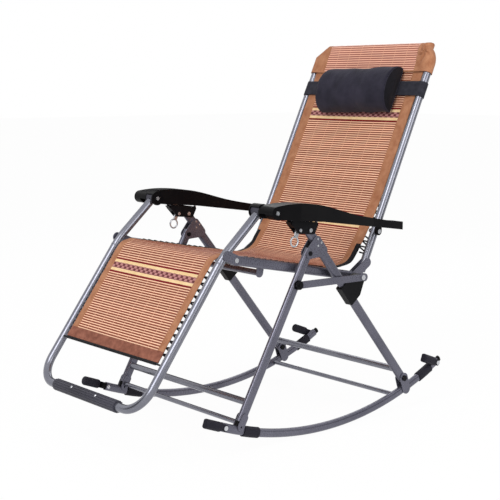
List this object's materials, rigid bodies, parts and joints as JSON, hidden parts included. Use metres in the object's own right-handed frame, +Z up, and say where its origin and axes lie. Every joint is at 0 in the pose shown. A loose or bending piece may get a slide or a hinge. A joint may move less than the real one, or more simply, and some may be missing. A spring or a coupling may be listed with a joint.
{
  "type": "folding lounge chair",
  "caption": "Folding reclining lounge chair on rocker runners: steel tube frame, striped sling seat, moulded arms, head pillow and flip-out stop levers.",
  "frame": {"origin": "centre of the bounding box on the floor", "axes": "+Z up, -Y the way the sitter faces, +X to the sitter's left"},
  "size_m": [0.672, 1.1985, 1.1657],
  "materials": {
    "frame_tube": "satin silver-grey",
    "zinc": "bright zinc",
    "black_plastic": "moulded black",
    "black_rubber": "matt",
    "sling_fabric": "woven",
    "pillow_fabric": "woven",
    "strap": "elastic webbing"
  },
  "bodies": {
    "runners": {"runner_right": "frame_tube", "runner_left": "frame_tube", "runner_end_caps": "black_plastic", "runner_pads": "black_rubber", "runner_rear_rod": "frame_tube", "rear_foot_plates": "zinc", "rear_foot_pins": "zinc", "stop_lever_rivets": "zinc"},
    "rear_legs": {"rear_leg_right": "frame_tube", "rear_leg_left": "frame_tube", "rear_crossbar": "frame_tube", "gusset_plates": "frame_tube", "gusset_rivets": "zinc", "leg_pivot_rivets": "zinc"},
    "front_legs": {"front_leg_right": "frame_tube", "front_leg_left": "frame_tube", "front_crossbar": "frame_tube", "front_leg_ends": "black_plastic", "front_foot_clips": "zinc", "front_foot_rod": "frame_tube"},
    "sleeves": {"leg_sleeve_right": "black_plastic", "leg_sleeve_left": "black_plastic"},
    "links": {"link_right": "frame_tube", "link_left": "frame_tube", "link_knuckles": "black_plastic", "seat_pivot_bolts": "zinc"},
    "seat": {"seat_rail_right": "frame_tube", "seat_rail_left": "frame_tube", "seat_stretcher": "frame_tube", "seat_sling": "sling_fabric"},
    "back_bushes": {"back_pivot_bushes": "black_plastic"},
    "back": {"back_frame": "frame_tube", "back_cheeks": "frame_tube", "back_sling": "sling_fabric"},
    "front_rivets": {"front_pivot_rivets": "zinc"},
    "leg_rest": {"leg_rest_frame": "frame_tube", "leg_rest_cheeks": "frame_tube", "foot_cover": "black_rubber", "leg_rest_sling": "sling_fabric", "sling_hem_rod": "black_plastic", "arm_knuckle_right": "black_plastic", "arm_knuckle_left": "black_plastic"},
    "arm_rivets": {"arm_rear_rivets": "zinc"},
    "arms": {"armrest_right": "black_plastic", "armrest_left": "black_plastic", "arm_front_bolts": "zinc", "arm_slide_rods": "zinc"},
    "bracket_rivets": {"leg_top_rivets": "zinc"},
    "brackets": {"lock_bracket_right": "black_plastic", "lock_bracket_left": "black_plastic", "lock_pins": "zinc"},
    "pillow": {"head_pillow": "pillow_fabric", "pillow_strap": "strap"},
    "ring_lever_right": {"ring_lever_right": "zinc"},
    "stop_lever_front_right": {"stop_lever_front_right": "black_rubber"},
    "stop_lever_rear_right": {"stop_lever_rear_right": "black_rubber"},
    "ring_lever_left": {"ring_lever_left": "zinc"},
    "stop_lever_front_left": {"stop_lever_front_left": "black_rubber"},
    "stop_lever_rear_left": {"stop_lever_rear_left": "black_rubber"}
  },
  "joints": [
    {"name": "fold", "type": "hinge", "parent": "runners", "child": "rear_legs", "pos_m": [0, 0.415, 0.107], "axis": [1, 0, 0], "range_deg": [-39.3, 0]},
    {"name": "sleeve_slide", "type": "slide", "parent": "rear_legs", "child": "sleeves", "axis": [0, 0.6328, -0.7743], "range_m": [-0.0002, 0.1297]},
    {"name": "front_leg_swing", "type": "hinge", "parent": "rear_legs", "child": "front_legs", "pos_m": [0, -0.001, 0.548], "axis": [1, 0, 0], "range_deg": [-0.1, 66.1]},
    {"name": "link_swing", "type": "hinge", "parent": "sleeves", "child": "links", "pos_m": [0, 0.214, 0.455], "axis": [1, 0, 0], "range_deg": [-24.93, 0.1]},
    {"name": "recline", "type": "hinge", "parent": "links", "child": "seat", "pos_m": [0, 0.214, 0.455], "axis": [-1, 0, 0], "range_deg": [0, 12.9]},
    {"name": "back_fold", "type": "hinge", "parent": "seat", "child": "back_bushes", "pos_m": [0, 0.214, 0.455], "axis": [1, 0, 0], "range_deg": [-0.1, 90.1]},
    {"name": "back_recline", "type": "hinge", "parent": "back_bushes", "child": "back", "pos_m": [0, 0.214, 0.455], "axis": [-1, 0, 0], "range_deg": [-0.1, 30.1]},
    {"name": "leg_rest_fold", "type": "hinge", "parent": "seat", "child": "front_rivets", "pos_m": [0, -0.256, 0.549], "axis": [1, 0, 0], "range_deg": [-0.1, 90.1]},
    {"name": "leg_rest_lift", "type": "hinge", "parent": "front_rivets", "child": "leg_rest", "pos_m": [0, -0.256, 0.549], "axis": [-1, 0, 0], "range_deg": [-0.1, 30.1]},
    {"name": "arm_fold", "type": "hinge", "parent": "back", "child": "arm_rivets", "pos_m": [0, 0.312, 0.585], "axis": [1, 0, 0], "range_deg": [-90.1, 0.1]},
    {"name": "arm_level", "type": "hinge", "parent": "arm_rivets", "child": "arms", "pos_m": [0, 0.312, 0.585], "axis": [-1, 0, 0], "range_deg": [-30.1, 0.1]},
    {"name": "bracket_fold", "type": "hinge", "parent": "rear_legs", "child": "bracket_rivets", "pos_m": [0, -0.001, 0.616], "axis": [1, 0, 0], "range_deg": [-24.93, 0.1]},
    {"name": "bracket_tilt", "type": "hinge", "parent": "bracket_rivets", "child": "brackets", "pos_m": [0, -0.001, 0.616], "axis": [-1, 0, 0], "range_deg": [-0.1, 13]},
    {"name": "ring_lever_right_pull", "type": "hinge", "parent": "brackets", "child": "ring_lever_right", "pos_m": [0.29, -0.041, 0.619], "axis": [1, 0, 0], "range_deg": [-30, 0]},
    {"name": "stop_front_right_turn", "type": "hinge", "parent": "runners", "child": "stop_lever_front_right", "pos_m": [0.29, -0.322, 0.08714], "axis": [1, 0, 0], "range_deg": [0, 105]},
    {"name": "stop_rear_right_turn", "type": "hinge", "parent": "runners", "child": "stop_lever_rear_right", "pos_m": [0.29, 0.574, 0.13269], "axis": [-1, 0, 0], "range_deg": [0, 220]},
    {"name": "ring_lever_left_pull", "type": "hinge", "parent": "brackets", "child": "ring_lever_left", "pos_m": [-0.29, -0.041, 0.619], "axis": [1, 0, 0], "range_deg": [-30, 0]},
    {"name": "stop_front_left_turn", "type": "hinge", "parent": "runners", "child": "stop_lever_front_left", "pos_m": [-0.29, -0.322, 0.08714], "axis": [1, 0, 0], "range_deg": [0, 105]},
    {"name": "stop_rear_left_turn", "type": "hinge", "parent": "runners", "child": "stop_lever_rear_left", "pos_m": [-0.29, 0.574, 0.13269], "axis": [-1, 0, 0], "range_deg": [0, 220]},
    {"name": "pillow_slide", "type": "slide", "parent": "back", "child": "pillow", "axis": [0, 0.4289, 0.9033], "range_m": [-0.12, 0.03]}
  ],
  "couplings": [
    {"joint": "sleeve_slide", "follows": "fold", "m_per_rad": -0.1888},
    {"joint": "front_leg_swing", "follows": "fold", "ratio": -1.6794},
    {"joint": "link_swing", "follows": "fold", "ratio": 0.63174},
    {"joint": "back_fold", "follows": "fold", "ratio": -2.2901},
    {"joint": "back_recline", "follows": "recline", "ratio": 2.3256},
    {"joint": "leg_rest_fold", "follows": "fold", "ratio": -2.2901},
    {"joint": "leg_rest_lift", "follows": "recline", "ratio": 2.3256},
    {"joint": "arm_fold", "follows": "fold", "ratio": 2.2901},
    {"joint": "arm_level", "follows": "recline", "ratio": -2.3256},
    {"joint": "bracket_fold", "follows": "fold", "ratio": 0.63174},
    {"joint": "bracket_tilt", "follows": "recline", "ratio": 1}
  ]
}
